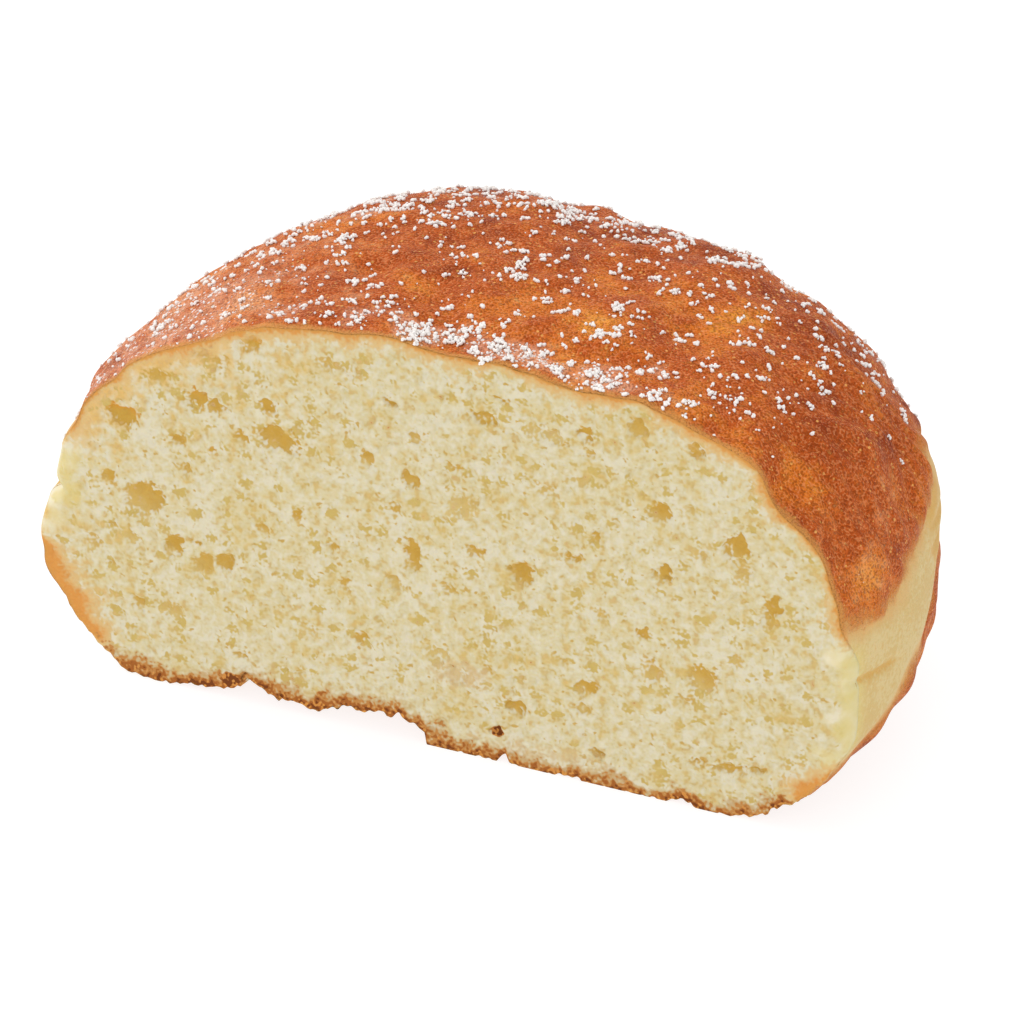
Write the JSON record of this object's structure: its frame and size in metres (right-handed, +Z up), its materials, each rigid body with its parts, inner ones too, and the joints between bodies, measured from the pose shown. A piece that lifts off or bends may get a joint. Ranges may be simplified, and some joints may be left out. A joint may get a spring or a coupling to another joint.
{
  "type": "beignet",
  "caption": "Round yeast beignet cut open, with an airy pale crumb, a browned crust, a pale band around its side and icing sugar on top.",
  "frame": {"origin": "middle of the box's underside, on the surface that the beignet stands on", "axes": "+Z up, -Y out of the flat cut face, +X to the right of someone looking at the cut face"},
  "size_m": [0.09, 0.0556, 0.0461],
  "materials": {
    "dough": null,
    "icing_sugar": "matt white powder in dust and clumps"
  },
  "bodies": {
    "root": {"beignet": "dough"}
  },
  "joints": []
}
